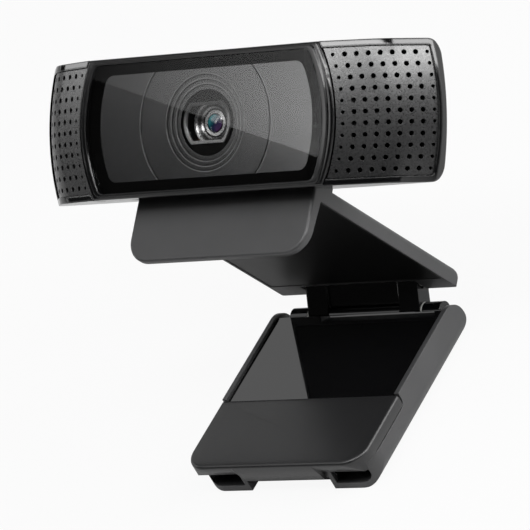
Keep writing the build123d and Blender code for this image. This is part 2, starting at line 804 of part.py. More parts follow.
def rear_shell():
    shell = head_mass(rail_proud, 0, 0, 0)
    hollow = head_mass(3 * grille_thickness, shell_wall, end_wall, rail_thickness)
    cheek = cheek_inner + tilt_cheek
    y0 = bezel_depth + seat_gap
    y1 = tilt_depth + pocket_radius + 2 * pocket_wall
    hollow -= block(-cheek, y0, -head_height, cheek, y1, pocket_top)
    shell -= hollow
    bezel_room = Circle(bezel_radius + bezel_gap / 2)
    shell -= pane(bezel_room, -head_depth, bezel_depth + seat_gap)
    shell -= slab(tilt_slot(), -cheek_inner, cheek_inner)
    pin_half = cheek + seat_gap
    shell -= rod(-pin_half, pin_half, tilt_depth, -tilt_drop, tilt_pin_radius + press_gap)
    outlet = head_depth - 2 * shell_wall
    return shell - disc(outlet, 2 * head_depth, grommet_radius + press_gap, 0, grommet_height)


def tilt_slot():
    """Side view of the slot under the head that the arm's post swings in."""
    deep = head_height
    lean_front = radians(head_lean + tilt_down)
    lean_rear = radians(head_lean - tilt_up)
    front_y = tilt_depth - pocket_radius * cos(lean_front)
    front_z = pocket_radius * sin(lean_front) - tilt_drop
    rear_y = tilt_depth + pocket_radius * cos(lean_rear)
    rear_z = -pocket_radius * sin(lean_rear) - tilt_drop
    points = [
        (front_y, front_z),
        (front_y - deep * sin(lean_front), front_z - deep * cos(lean_front)),
        (rear_y - deep * sin(lean_rear), rear_z - deep * cos(lean_rear)),
        (rear_y, rear_z),
    ]
    wedge = make_face(Polyline(*points, close=True))
    return wedge + Pos(tilt_depth, -tilt_drop) * Circle(pocket_radius)


def across(along, height, depth, length, radius):
    """Rod square to the grille's face, at a distance along it, a height and a depth behind it."""
    x, y, heading = face_heading(along)
    mid = depth + length / 2
    round_lens = Rot(0, -asin(height / x) * 180 / pi, 0)
    place = Pos(x - mid * sin(heading), y + mid * cos(heading), 0)
    return round_lens * place * Rot(0, 0, heading * 180 / pi) * Rot(90, 0, 0) * Cylinder(radius, length)


def right_grille():
    skin = turned(0, end_radius) - turned(-grille_thickness, end_radius)
    insets = [wall + seat_gap for wall in (shell_wall, end_wall, rail_thickness)]
    room = head_mass(3 * grille_thickness, *insets)
    room -= disc(-head_depth, 2 * head_depth, bezel_radius + bezel_gap)
    room = room & block(0, -head_depth, -head_height, end_radius, 2 * head_depth, head_height)
    cup = mic_radius + mic_boot_wall + press_gap
    root = grille_thickness / 2
    skin += across(mic_along, 0, root, mic_cup_depth + root, cup + mic_cup_wall)
    grille = skin & room
    grille -= across(mic_along, 0, grille_thickness, mic_boot_length + mic_cup_depth, cup)
    holes = []
    for row in range(grille_rows):
        z = grille_row_pitch * (row - (grille_rows - 1) / 2)
        for column in range(grille_columns):
            along = grille_first_column + grille_pitch * column
            radius = grille_edge_hole_radius if column in (0, grille_columns - 1) else grille_hole_radius
            holes.append(across(along, z, -grille_thickness, 3 * grille_thickness, radius))
    return grille - holes


def right_mic_boot():
    sleeve = across(mic_along, 0, grille_thickness, mic_boot_length, mic_radius + mic_boot_wall)
    return sleeve - across(mic_along, 0, 0, 3 * mic_boot_length, mic_radius + press_gap)


def right_microphone():
    return across(mic_along, 0, grille_thickness + seat_gap, mic_length, mic_radius)


def cable_grommet():
    y1 = head_depth + grommet_flange
    grommet = disc(y1 - grommet_length, y1, grommet_radius, 0, grommet_height)
    grommet += disc(head_depth, y1, grommet_radius + grommet_flange, 0, grommet_height)
    return grommet - disc(0, 2 * head_depth, cable_radius, 0, grommet_height)


def tilt_pin():
    half = cheek_inner + tilt_cheek
    return rod(-half, half, tilt_depth, -tilt_drop, tilt_pin_radius)


def tilt_washers():
    x0 = half_clip + (moving_gap - tilt_washer_thickness) / 2
    inner = tilt_pin_radius + running_gap
    outer = inner + washer_rim
    return ring_pair(x0, x0 + tilt_washer_thickness, tilt_depth, -tilt_drop, outer, inner)


def left_of(shape):
    return mirror(shape, about=Plane.YZ)


right_grille_part = right_grille()
nodes = {
    "foot_shell": (foot_place, foot_shell()),
    "foot_panel": (foot_place, foot_panel()),
    "foot_pad": (foot_place, foot_pad()),
    "panel_screws": (foot_place, panel_screws()),
    "tripod_insert": (foot_place, tripod_insert()),
    "foot_hinge_pin": (foot_place, foot_hinge_pin()),
    "hinge_link": (foot_place, hinge_link()),
    "foot_hinge_washers": (foot_place, foot_hinge_washers()),
    "arm_hinge_washers": (foot_place, arm_hinge_washers()),
    "clip_arm": (arm_place, clip_arm()),
    "arm_panel": (arm_place, arm_panel()),
    "arm_hinge_pin": (arm_place, arm_hinge_pin()),
    "front_bezel": (head_place, front_bezel()),
    "front_window": (head_place, front_window()),
    "window_gasket": (head_place, window_gasket()),
    "lens_panel": (head_place, lens_panel()),
    "lens_hood": (head_place, lens_hood()),
    "lens_barrel": (head_place, lens_barrel()),
    "front_lens": (head_place, front_lens()),
    "rear_lens": (head_place, rear_lens()),
    "focus_coil": (head_place, focus_coil()),
    "focus_magnets": (head_place, focus_magnets()),
    "focus_housing": (head_place, focus_housing()),
    "image_sensor": (head_place, image_sensor()),
    "main_board": (head_place, main_board()),
    "board_screws": (head_place, board_screws()),
    "shield_can": (head_place, shield_can()),
    "cable_header": (head_place, cable_header()),
    "status_leds": (head_place, status_leds()),
    "rear_shell": (head_place, rear_shell()),
    "right_grille": (head_place, right_grille_part),
    "left_grille": (head_place, left_of(right_grille_part)),
    "right_mic_boot": (head_place, right_mic_boot()),
    "left_mic_boot": (head_place, left_of(right_mic_boot())),
    "right_microphone": (head_place, right_microphone()),
    "left_microphone": (head_place, left_of(right_microphone())),
    "cable_grommet": (head_place, cable_grommet()),
    "tilt_pin": (head_place, tilt_pin()),
    "tilt_washers": (head_place, tilt_washers()),
}

os.makedirs("parts", exist_ok=True)
for name, (place, shape) in nodes.items():
    export_step(place * shape, f"parts/{name}.step")
print("foot pin", round(foot_pin_y, 3), round(foot_pin_z, 3))
print("arm pin", round(arm_pin_y, 3), round(arm_pin_z, 3))
print("tilt pin", round(tilt_y, 3), round(tilt_z, 3))
print("head origin", head_place.position, "angle", head_angle)
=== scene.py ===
import bpy
import bmesh
import json
import math
from mathutils import Matrix, Vector


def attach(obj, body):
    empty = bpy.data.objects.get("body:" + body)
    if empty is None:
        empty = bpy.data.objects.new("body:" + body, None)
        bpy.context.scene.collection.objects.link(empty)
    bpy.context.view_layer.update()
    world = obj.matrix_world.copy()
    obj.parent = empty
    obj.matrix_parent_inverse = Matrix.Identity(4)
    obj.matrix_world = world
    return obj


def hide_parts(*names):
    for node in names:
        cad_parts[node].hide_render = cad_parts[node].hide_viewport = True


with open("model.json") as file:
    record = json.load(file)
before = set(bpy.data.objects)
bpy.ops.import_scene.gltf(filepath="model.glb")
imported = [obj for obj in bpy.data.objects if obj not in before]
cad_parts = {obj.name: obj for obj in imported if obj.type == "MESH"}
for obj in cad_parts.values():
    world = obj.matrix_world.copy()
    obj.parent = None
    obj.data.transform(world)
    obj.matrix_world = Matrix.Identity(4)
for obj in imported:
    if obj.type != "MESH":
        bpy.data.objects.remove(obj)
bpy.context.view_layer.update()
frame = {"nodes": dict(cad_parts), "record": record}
nodes = frame["nodes"]
scene = bpy.context.scene
scene.view_settings.view_transform = "Standard"

MM = 0.001

# The head's own frame: origin on the lens axis at the bezel's front, Y to the rear
HEAD_ORIGIN = Vector((0.0, 0.00403709, 0.0708889))
HEAD_ANGLE = math.radians(-43.8)
HEAD = Matrix.Translation(HEAD_ORIGIN) @ Matrix.Rotation(HEAD_ANGLE, 4, "X")
LENS_AXIS = HEAD.to_3x3() @ Vector((0.0, 1.0, 0.0))

# Camera, fitted in the head's frame
CAM_YAW = math.radians(37.01)
CAM_PITCH = math.radians(-2.01)
CAM_ROLL = math.radians(-1.65)
CAM_SHIFT = Vector((-0.0124, -0.0280, 1.0599))
CAM_FOCAL_PX = 5406.0
CAM_REACH = 20.0
IMAGE_PX = 530.0
SENSOR_MM = 36.0


def fitted_camera():
    cy, sy = math.cos(CAM_YAW), math.sin(CAM_YAW)
    cp, sp = math.cos(CAM_PITCH), math.sin(CAM_PITCH)
    cr, sr = math.cos(CAM_ROLL), math.sin(CAM_ROLL)
    turn_z = Matrix(((cy, sy, 0), (-sy, cy, 0), (0, 0, 1)))
    turn_x = Matrix(((1, 0, 0), (0, cp, -sp), (0, sp, cp)))
    swap = Matrix(((1, 0, 0), (0, 0, -1), (0, 1, 0)))
    spin = Matrix(((cr, -sr, 0), (sr, cr, 0), (0, 0, 1)))
    look = spin @ swap @ turn_x @ turn_z
    head_turn = HEAD.to_3x3()
    right = head_turn @ Vector(look[0])
    up = head_turn @ -Vector(look[1])
    back = head_turn @ -Vector(look[2])
    place = Matrix((right, up, back)).transposed().to_4x4()
    place.translation = HEAD @ -(look.transposed() @ CAM_SHIFT)
    data = bpy.data.cameras.new("camera")
    data.sensor_width = SENSOR_MM
    data.lens = CAM_FOCAL_PX / IMAGE_PX * SENSOR_MM
    data.clip_end = CAM_REACH
    camera = bpy.data.objects.new("camera", data)
    camera.matrix_world = place
    scene.collection.objects.link(camera)
    scene.camera = camera


fitted_camera()


# Materials; sizes in their calls are in millimetres

SHEEN = 0.7  # specular level of the hard plastics
BEVEL_SAMPLES = 4
CORNER_SAMPLES = 8
CORNER_SPAN = (0.6, 0.97)  # openness at which the painted corner shade is darkest, and at which it is gone
WALL_SPAN = (0.4, 0.9)  # share of the normal along the lens axis, on a wall and on a face; painted shade runs from full on a wall to none on a face


class Graph:
    """Helpers that add nodes to a node tree."""

    def __init__(self, tree):
        self.tree = tree

    def add(self, kind, inputs=None, **props):
        node = self.tree.nodes.new(kind)
        for key, value in props.items():
            setattr(node, key, value)
        for key, value in (inputs or {}).items():
            node.inputs[key].default_value = value
        return node

    def link(self, source, socket):
        self.tree.links.new(source, socket)

    def feed(self, socket, value):
        """Set a socket to a number, or link an output to it."""
        if isinstance(value, (int, float)):
            socket.default_value = value
        else:
            self.link(value, socket)

    def maths(self, operation, *values):
        node = self.add("ShaderNodeMath", operation=operation)
        for socket, value in zip(node.inputs, values):
            self.feed(socket, value)
        return node.outputs[0]

    def span(self, value, low, high, start=0.3, stop=0.7):
        """Bring a value that runs from start to stop to the span from low to high."""
        limits = {"From Min": start, "From Max": stop, "To Min": low, "To Max": high}
        node = self.add("ShaderNodeMapRange", limits)
        self.link(value, node.inputs["Value"])
        return node.outputs[0]

    def split(self, vector):
        node = self.add("ShaderNodeSeparateXYZ")
        self.link(vector, node.inputs[0])
        return node.outputs

    def scaled(self, vector, share):
        node = self.add("ShaderNodeVectorMath", operation="SCALE")
        self.link(vector, node.inputs[0])
        self.link(share, node.inputs["Scale"])
        return node.outputs[0]


class Shader(Graph):
    """A material with one principled shader."""

    def __init__(self, name, colour, rough, **values):
        self.mat = bpy.data.materials.new(name)
        self.mat.use_nodes = True
        super().__init__(self.mat.node_tree)
        self.tree.nodes.clear()
        self.name = name
        self.colour = colour
        self.normal = None
        self.out = self.add("ShaderNodeOutputMaterial")
        self.bsdf = self.add("ShaderNodeBsdfPrincipled")
        self.link(self.bsdf.outputs[0], self.out.inputs[0])
        self.bsdf.inputs["Base Color"].default_value = (*colour, 1)
        self.bsdf.inputs["Roughness"].default_value = rough
        self.bsdf.inputs["Specular IOR Level"].default_value = SHEEN
        for key, value in values.items():
            self.bsdf.inputs[key.replace("_", " ")].default_value = value
        self.coords = self.add("ShaderNodeTexCoord").outputs

    def noise(self, size, detail=4.0, rough=0.55, stretch=None):
        settings = {"Scale": 1.0 / (size * MM), "Detail": detail, "Roughness": rough}
        node = self.add("ShaderNodeTexNoise", settings)
        place = self.coords["Object"]
        if stretch:
            mapping = self.add("ShaderNodeMapping", {"Scale": stretch})
            self.link(place, mapping.inputs[0])
            place = mapping.outputs[0]
        self.link(place, node.inputs["Vector"])
        return node.outputs["Fac"]

    def head_place(self):
        """Place in the head's own frame."""
        frame_of_head = {"Location": HEAD_ORIGIN, "Rotation": (HEAD_ANGLE, 0, 0)}
        node = self.add("ShaderNodeMapping", frame_of_head, vector_type="TEXTURE")
        self.link(self.coords["Object"], node.inputs[0])
        return self.split(node.outputs[0])

    def from_axis(self):
        """Distance from the lens axis."""
        x, _, z = self.head_place()
        square = self.maths("ADD", self.maths("POWER", x, 2.0), self.maths("POWER", z, 2.0))
        return self.maths("SQRT", square)

    def ramp(self, value, *stops):
        node = self.add("ShaderNodeValToRGB")
        elements = node.color_ramp.elements
        while len(elements) < len(stops):
            elements.new(0.5)
        for element, (position, colour) in zip(elements, stops):
            element.position = position
            element.color = (*colour, 1)
        self.link(value, node.inputs[0])
        return node.outputs[0]

    def paint(self, colour):
        self.link(colour, self.bsdf.inputs["Base Color"])

    def painted(self):
        return self.bsdf.inputs["Base Color"].links[0].from_socket

    def tint(self, value, low, high):
        """Colour that varies a little about the base colour."""
        dark = tuple(c * low for c in self.colour)
        light = tuple(c * high for c in self.colour)
        self.paint(self.ramp(value, (0.3, dark), (0.7, light)))

    def roughen(self, value, low, high):
        self.link(self.span(value, low, high), self.bsdf.inputs["Roughness"])

    def shade_by(self, share):
        """Scale the colour and the sheen by a share, which paints shade."""
        self.paint(self.scaled(self.painted(), share))
        level = self.bsdf.inputs["Specular IOR Level"]
        before = level.links[0].from_socket if level.is_linked else level.default_value
        self.link(self.maths("MULTIPLY", share, before), level)

    def paint_corner_shade(self, reach):
        """Paint shade into the colour and the sheen in corners, from ambient occlusion."""
        # Painted shade: colour and sheen fall with the occlusion found near the surface
        node = self.add(
            "ShaderNodeAmbientOcclusion",
            {"Distance": reach * MM},
            samples=CORNER_SAMPLES,
            only_local=True,
        )
        self.shade_by(self.span(node.outputs["AO"], 0.0, 1.0, *CORNER_SPAN))

    def paint_wall_shade(self):
        """Paint shade on the walls that run along the lens axis, by the way their normals face."""
        node = self.add("ShaderNodeVectorMath", operation="DOT_PRODUCT")
        self.link(self.coords["Normal"], node.inputs[0])
        node.inputs[1].default_value = LENS_AXIS
        # Painted shade: the more a normal lies across the lens axis, the darker
        facing = self.maths("ABSOLUTE", node.outputs["Value"])
        self.shade_by(self.span(facing, 0.0, 1.0, *WALL_SPAN))

    def bend(self, node):
        """Take the surface's normal from a node."""
        self.normal = node.outputs[0]
        self.link(self.normal, self.bsdf.inputs["Normal"])

    def soften(self, radius):
        self.bend(self.add("ShaderNodeBevel", {"Radius": radius * MM}, samples=BEVEL_SAMPLES))

    def bump(self, value, depth):
        node = self.add("ShaderNodeBump", {"Strength": 1.0, "Distance": depth * MM})
        self.link(value, node.inputs["Height"])
        if self.normal:
            self.link(self.normal, node.inputs["Normal"])
        self.bend(node)

    def blend(self, share, under, over):
        """Show two shaders, with a share of the second."""
        mix = self.add("ShaderNodeMixShader")
        self.feed(mix.inputs[0], share)
        self.link(under.outputs[0], mix.inputs[1])
        self.link(over.outputs[0], mix.inputs[2])
        self.link(mix.outputs[0], self.out.inputs[0])


def moulded(name, colour, rough, grain=0.25, depth=0.01, edge=0.3, vary=0.12, **values):
    """Moulded plastic: a fine eroded grain, slow colour variation and softened edges."""
    s = Shader(name, colour, rough, **values)
    fine = s.noise(grain, 5.0, 0.6)
    s.tint(s.noise(12, 3.0), 1 - vary, 1 + vary)
    s.roughen(fine, rough - 0.05, rough + 0.05)
    if edge:
        s.soften(edge)
    s.bump(fine, depth)
    return s


def polished(name, colour, rough, edge=0.3):
    """Glossy plastic: faint smears in the polish and a trace of moulding waviness."""
    s = Shader(name, colour, rough)
    smear = s.noise(6, 6.0, 0.6, stretch=(1.0, 0.35, 1.0))
    s.tint(s.noise(20), 0.85, 1.15)
    s.roughen(smear, max(rough - 0.02, 0.01), rough + 0.03)
    s.soften(edge)
    s.bump(s.noise(8, 1.0), 0.004)
    return s


def satin(name, colour, rough, edge, **values):
    """Smooth satin plastic: slow variation of colour and sheen, with no grain."""
    s = Shader(name, colour, rough, **values)
    s.tint(s.noise(15, 2.0), 0.95, 1.05)
    s.roughen(s.noise(10, 2.0), rough - 0.01, rough + 0.01)
    s.soften(edge)
    return s


def metal(name, colour, rough, grain, stretch=None):
    """Bare metal with fine lines, drawn out along X where it is stretched."""
    s = Shader(name, colour, rough, Metallic=1.0)
    lines = s.noise(grain, 4.0, 0.6, stretch)
    s.tint(s.noise(2), 0.85, 1.1)
    s.roughen(lines, rough - 0.07, rough + 0.09)
    s.bump(lines, 0.004)
    return s


LATHE_PITCH = 0.16
BARREL_BANDS = (
    # distance from the lens axis and painted brightness: bright bands paint highlights, dark bands
    # paint shade in grooves
    (1.9, 0.7),
    (2.5, 0.63),
    (2.6, 0.03),
    (2.85, 0.03),
    (2.95, 0.42),
    (3.2, 0.35),
    (3.3, 0.04),
    (3.7, 0.07),
    (4.1, 0.5),
    (4.5, 0.5),
)


def grey(level):
    return (level, level, level)


def barrel_shader(name, rough):
    """Turned metal: rings of lighter and darker colour that paint highlights and the shade of
    grooves, with fine lathe lines.
    """
    first, bright = BARREL_BANDS[0]
    last = BARREL_BANDS[-1][0]
    s = Shader(name, grey(bright), rough, Metallic=1.0)
    across = s.span(s.from_axis(), 0.0, 1.0, first * MM, last * MM)
    stops = [((at - first) / (last - first), grey(level)) for at, level in BARREL_BANDS]
    # Painted highlight and shade: the colour follows the bands out from the lens axis
    s.paint(s.ramp(across, *stops))
    s.roughen(s.noise(0.4), rough - 0.05, rough + 0.05)
    turns = s.maths("MULTIPLY", s.from_axis(), 2 * math.pi / (LATHE_PITCH * MM))
    s.bump(s.maths("SINE", turns), 0.006)
    return s


RING_EDGES = (7.57, 8.57, 9.57, 16.15)  # the stepped rings and the groove, from the lens axis
RING_SPAN = 20.0
HIGHLIGHT_PROFILE = ((-0.04, 0.0), (0.0, 1.0), (0.14, 1.0), (0.2, 0.0))  # out from an edge, and strength of the painted highlight


def panel_shader(name):
    """Satin panel with painted highlights along the edges of its rings, and painted shade on their
    walls and feet.
    """
    s = satin(name, (0.024, 0.0243, 0.0249), 0.11, edge=0.06, IOR=1.78)
    # Painted shade in the rings' corners and on their walls
    s.paint_corner_shade(0.8)
    s.paint_wall_shade()
    # Painted highlight: a bright line just outside each ring edge and the groove, its strength
    # varied by noise
    stops = [(0.0, grey(0.0))]
    for edge in RING_EDGES:
        stops += [((edge + out) / RING_SPAN, grey(highlight_level)) for out, highlight_level in HIGHLIGHT_PROFILE]
    edge_highlight = s.ramp(s.span(s.from_axis(), 0.0, 1.0, 0.0, RING_SPAN * MM), *stops)
    varied_highlight = s.scaled(edge_highlight, s.span(s.noise(4, 2.0), 0.07, 0.17))
    total = s.add("ShaderNodeVectorMath", operation="ADD")
    s.link(s.painted(), total.inputs[0])
    s.link(varied_highlight, total.inputs[1])
    s.paint(total.outputs[0])
    return s


HOOD_PLATE = 2.1  # front of the hood's plate, behind the bezel's front
LIP_STEP = 0.15  # depth over which the lip's painted highlight ends above the plate
LIP_LOW = -1.5  # height up to which the painted highlight on the lip is full
LIP_HIGH = 2.5  # height from which that painted highlight is faint


def hood_shader(name):
    """Black hood with a lip in front of its plate, with a bright metallic highlight painted on it
    at the sides and below.
    """
    s = moulded(name, grey(0.001), 0.3, edge=0.12, Specular_IOR_Level=0.08)
    _, depth, height = s.head_place()
    # Painted highlight: the lip's front is coloured bright and made metallic, fading towards its
    # top
    lip = s.span(depth, 1.0, 0.0, (HOOD_PLATE - LIP_STEP) * MM, HOOD_PLATE * MM)
    lip = s.maths("MULTIPLY", lip, s.span(height, 1.0, 0.15, LIP_LOW * MM, LIP_HIGH * MM))
    s.paint(s.ramp(lip, (0.0, s.colour), (1.0, grey(0.34))))
    s.link(lip, s.bsdf.inputs["Metallic"])
    return s


def grille_shader(name):
    """Moulded grille with painted shade inside its holes."""
    colour = (0.013, 0.013, 0.0134)
    s = moulded(name, colour, 0.29, grain=0.4, depth=0.012, edge=0.08, IOR=1.7)
    # Painted shade in the holes and corners, from ambient occlusion
    s.paint_corner_shade(0.6)
    return s


def window_shader(name):
    """Thin clear cover: a faint mirror over what is behind it."""
    s = Shader(name, grey(0.0), 0.0, IOR=3.4)
    s.bump(s.noise(20, 1.0), 0.002)
    s.blend(0.06, s.add("ShaderNodeBsdfTransparent"), s.bsdf)
    return s


LENS_RIM = (1.6, 1.8)  # from the lens axis: where the glass starts to darken, and is black
# Painted reflection of the coating: half the width of its teal-to-violet run, and how far noise
# moves it
COAT_HALF = 1.6
COAT_DRIFT = 0.4


def lens_shader(name):
    """Dark glass with the coating's reflection painted in its colour, teal to violet across it, and
    a blackened edge.
    """
    colour = (0.004, 0.03, 0.04)
    s = Shader(name, colour, 0.03, IOR=1.6, Coat_Weight=1.0, Coat_Roughness=0.02)
    x, _, z = s.head_place()
    slant = s.maths("SUBTRACT", s.maths("MULTIPLY", x, 0.8), s.maths("MULTIPLY", z, 0.6))
    drift = s.span(s.noise(1, 2.0), -COAT_DRIFT * MM, COAT_DRIFT * MM)
    slant = s.maths("ADD", slant, drift)
    # Painted reflection: the coating's teal and violet laid into the glass's colour by place
    coating_reflection = s.ramp(
        s.span(slant, 0.0, 1.0, -COAT_HALF * MM, COAT_HALF * MM),
        (0.0, (0.04, 0.28, 0.31)),
        (0.35, (0.006, 0.085, 0.11)),
        (0.6, (0.006, 0.02, 0.06)),
        (1.0, (0.08, 0.03, 0.11)),
    )
    rim = s.span(s.from_axis(), 1.0, 0.0, *(edge * MM for edge in LENS_RIM))
    s.paint(s.scaled(coating_reflection, rim))
    return s


slot_shaders = (
    moulded("clip_plastic", (0.047, 0.047, 0.0484), 0.4),
    moulded("pad_rubber", (0.013, 0.013, 0.0137), 0.34, grain=0.3, depth=0.015, edge=0),
    moulded("frame_black", grey(0.0006), 0.5, edge=0, Specular_IOR_Level=0.03),
    moulded("mic_rubber", grey(0.011), 0.7, Specular_IOR_Level=0.28),
    moulded("mic_can", grey(0.004), 0.8, vary=0.2, Specular_IOR_Level=0.07),
    moulded("washer_white", (0.6, 0.6, 0.57), 0.45, vary=0.05),
    moulded("header_white", (0.62, 0.59, 0.5), 0.45, vary=0.06),
    moulded("board_green", (0.01, 0.09, 0.035), 0.35, grain=0.8, depth=0.02),
    polished("gloss_black", (0.002, 0.002, 0.0023), 0.03, edge=0.12),
    polished("casing_black", (0.003, 0.003, 0.0033), 0.07, edge=0.5),
    polished("led_clear", (0.7, 0.71, 0.66), 0.12),
    polished("sensor_dark", (0.03, 0.025, 0.05), 0.08),
    metal("pin_steel", (0.5, 0.5, 0.51), 0.28, grain=0.4, stretch=(0.1, 1.0, 1.0)),
    metal("coil_copper", (0.5, 0.2, 0.08), 0.35, grain=0.2, stretch=(0.2, 1.0, 1.0)),
    metal("shield_tin", (0.55, 0.55, 0.54), 0.4, grain=0.6),
    metal("magnet_nickel", (0.6, 0.58, 0.54), 0.22, grain=0.3),
    metal("insert_brass", (0.62, 0.42, 0.14), 0.3, grain=0.3),
    barrel_shader("barrel_silver", 0.28),
    panel_shader("panel_grey"),
    hood_shader("hood_black"),
    grille_shader("grille_grey"),
    window_shader("window_clear"),
    lens_shader("lens_glass"),
)
shaders = {shader.name: shader for shader in slot_shaders}


def dress(obj, shader):
    obj.data.materials.clear()
    obj.data.materials.append(shader.mat)


for part in frame["record"]["subparts"]:
    dress(nodes[part["node"]], shaders[part["material_slot"]])
arm_panel_mat = satin("arm_panel", grey(0.0014), 0.36, edge=0.1, Specular_IOR_Level=0.42)
dress(nodes["arm_panel"], arm_panel_mat)
dress(nodes["hinge_link"], shaders["casing_black"])


# Toe pad, in millimetres: a soft moulding with a crowned top, rolled edges, a front apron
# that leans in and a tongue

PAD_HALF = 22.0
PAD_REAR = -9.95
PAD_FRONT = -29.3
PAD_CORNER = 5.0
PAD_REAR_CORNER = 0.5
PAD_TOP = 9.1
PAD_CROWN = 0.1
CROWN_POWER = 4  # how flat the crown is in the middle
PAD_ROLL = 0.7
PAD_SEAT = 6.4
PAD_SEAM = 0.22
SEAM_SHARE = 0.3  # of the seam, at the middle of its round
APRON_BACK = -27.0
APRON_FACE = -27.6
APRON_DROP = 5.2
APRON_ROLL = 0.15
TONGUE_HALF = 10.1
TONGUE_DROP = 3.2
TONGUE_EASE = 0.25  # spacing of the points at the tongue's edges
TONGUE_CLEAR = 0.3  # no other point lies nearer to them
CORNER_STEPS = 24
REAR_CORNER_STEPS = 4
REAR_STEPS = 44
SIDE_STEPS = 16
FRONT_STEPS = 40
ROLL_STEPS = 5
CROWN_RINGS = 9
MERGE_GAP = 0.0005
CREASE = math.radians(50)


def arc(cx, cy, radius, start, stop, steps):
    """Points of an arc and their inward headings."""
    for i in range(steps + 1):
        t = math.radians(start + (stop - start) * i / steps)
        yield cx + radius * math.cos(t), cy + radius * math.sin(t), -math.cos(t), -math.sin(t)


def run(x0, y0, x1, y1, steps, nx, ny):
    """Points between the ends of a straight edge, with its inward heading."""
    for i in range(1, steps):
        yield x0 + (x1 - x0) * i / steps, y0 + (y1 - y0) * i / steps, nx, ny


def pad_outline():
    """Plan of the pad, anticlockwise from the rear right corner, with inward headings."""
    inner = PAD_HALF - PAD_CORNER
    rear_in = PAD_HALF - PAD_REAR_CORNER
    low = PAD_FRONT + PAD_CORNER
    high = PAD_REAR - PAD_REAR_CORNER
    points = list(arc(rear_in, high, PAD_REAR_CORNER, 0, 90, REAR_CORNER_STEPS))
    points += run(rear_in, PAD_REAR, -rear_in, PAD_REAR, REAR_STEPS, 0, -1)
    points += arc(-rear_in, high, PAD_REAR_CORNER, 90, 180, REAR_CORNER_STEPS)
    points += run(-PAD_HALF, high, -PAD_HALF, low, SIDE_STEPS, 1, 0)
    points += arc(-inner, low, PAD_CORNER, 180, 270, CORNER_STEPS)
    eases = (-TONGUE_EASE, 0.0, TONGUE_EASE)
    edges = [side * (TONGUE_HALF + ease) for side in (-1, 1) for ease in eases]
    evenly = [-inner + 2 * inner * i / FRONT_STEPS for i in range(1, FRONT_STEPS)]
    clear = [x for x in evenly if min(abs(x - edge) for edge in edges) > TONGUE_CLEAR]
    points += [(x, PAD_FRONT, 0, 1) for x in sorted(clear + edges)]
    points += arc(inner, low, PAD_CORNER, 270, 360, CORNER_STEPS)
    points += run(PAD_HALF, low, PAD_HALF, high, SIDE_STEPS, -1, 0)
    return points


def pad_column(x, y, nx, ny):
    """The pad's section at one point of its plan, from the crown's rim down to the seat."""
    column = []
    for i in range(ROLL_STEPS + 1):
        t = math.radians(90 * i / ROLL_STEPS)
        inset = PAD_ROLL * (1 - math.sin(t))
        height = PAD_TOP - PAD_ROLL * (1 - math.cos(t))
        column.append((x + nx * inset, y + ny * inset, height))
    if y > APRON_BACK:
        for inward, upward in ((0.0, 1.0), (SEAM_SHARE, SEAM_SHARE), (1.0, 0.0)):
            inset = PAD_SEAM * inward
            column.append((x + nx * inset, y + ny * inset, PAD_SEAT + PAD_SEAM * upward))
        column += [column[-1]] * 2
        return column
    brow = PAD_TOP - PAD_ROLL
    drop = TONGUE_DROP if abs(x) < TONGUE_HALF else APRON_DROP
    face = max(y, APRON_FACE)
    lean = (APRON_FACE - PAD_FRONT) / (brow - drop)
    start = brow - max(y - PAD_FRONT, 0) / lean
    column.append((x, y, max(start, drop + 2 * APRON_ROLL)))
    column.append((x, face - APRON_ROLL * lean, drop + APRON_ROLL))
    column.append((x, face + APRON_ROLL, drop))
    column.append((x, APRON_BACK, drop))
    column.append((x, APRON_BACK, PAD_SEAT))
    return column


def make_pad():
    columns = [pad_column(*point) for point in pad_outline()]
    count = len(columns)
    mid_y = (PAD_REAR + PAD_FRONT) / 2
    bm = bmesh.new()
    rings = []
    for ring in range(1, CROWN_RINGS + 1):
        share = ring / (CROWN_RINGS + 1)
        z = PAD_TOP + PAD_CROWN * (1 - share**CROWN_POWER)
        loop = []
        for column in columns:
            x, y, _ = column[0]
            loop.append(bm.verts.new((x * share, mid_y + (y - mid_y) * share, z)))
        rings.append(loop)
    for level in range(len(columns[0])):
        rings.append([bm.verts.new(column[level]) for column in columns])
    centre = bm.verts.new((0.0, mid_y, PAD_TOP + PAD_CROWN))
    for i in range(count):
        bm.faces.new((centre, rings[0][i], rings[0][(i + 1) % count]))
    for upper, lower in zip(rings, rings[1:]):
        for i in range(count):
            j = (i + 1) % count
            bm.faces.new((upper[i], lower[i], lower[j], upper[j]))
    bm.faces.new(reversed(rings[-1]))
    bmesh.ops.remove_doubles(bm, verts=bm.verts, dist=MERGE_GAP)
    bmesh.ops.scale(bm, vec=(MM, MM, MM), verts=bm.verts)
    bmesh.ops.recalc_face_normals(bm, faces=bm.faces)
    for face in bm.faces:
        face.smooth = True
    for edge in bm.edges:
        if edge.is_manifold and edge.calc_face_angle() > CREASE:
            edge.smooth = False
    mesh = bpy.data.meshes.new("toe_pad")
    bm.to_mesh(mesh)
    bm.free()
    pad = bpy.data.objects.new("toe_pad", mesh)
    scene.collection.objects.link(pad)
    dress(pad, shaders["pad_rubber"])
    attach(pad, "foot")
    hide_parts("foot_pad")


make_pad()


# Floor, world and lights, in metres

FLOOR_HALF = 3.0
FLOOR_DROP = 0.0001
FLOOR_CLOUD_MM = 400
EYE_SHARE = 0.92  # how much of the floor's look is plain white to the eye and through glass
GLOSS_SHARE = 0.1  # the same in reflections, where its own light and shadow show
ROOM_LIGHT = 0.025  # light from all round the studio
SWEEP_TOP = 0.06  # sine of the height at which the white sweep ends in reflections


def seen_straight(graph, path):
    """Rays from the eye, also through glass."""
    return graph.maths("MAXIMUM", path["Is Camera Ray"], path["Is Transmission Ray"])


